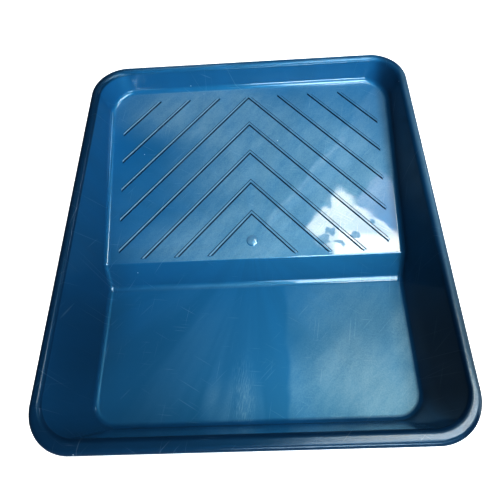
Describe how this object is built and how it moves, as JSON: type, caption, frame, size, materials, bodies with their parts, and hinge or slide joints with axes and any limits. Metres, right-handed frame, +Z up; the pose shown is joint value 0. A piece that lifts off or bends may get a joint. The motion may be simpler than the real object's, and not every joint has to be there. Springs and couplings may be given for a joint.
{
  "type": "paint roller tray",
  "caption": "Rectangular moulded paint roller tray: deep paint well, step, sloping ramp with raised chevron ribs, rolled rim and moulded legs.",
  "frame": {"origin": "on the ground plane, in the middle of the tray's plan", "axes": "+X to the right across the width, +Y from the paint well towards the ramp's far end, +Z up"},
  "size_m": [0.3, 0.348, 0.066],
  "materials": {
    "tray_plastic": "gloss blue moulded plastic, lightly scratched and hazed by use"
  },
  "bodies": {
    "root": {"tray": "tray_plastic"}
  },
  "joints": []
}
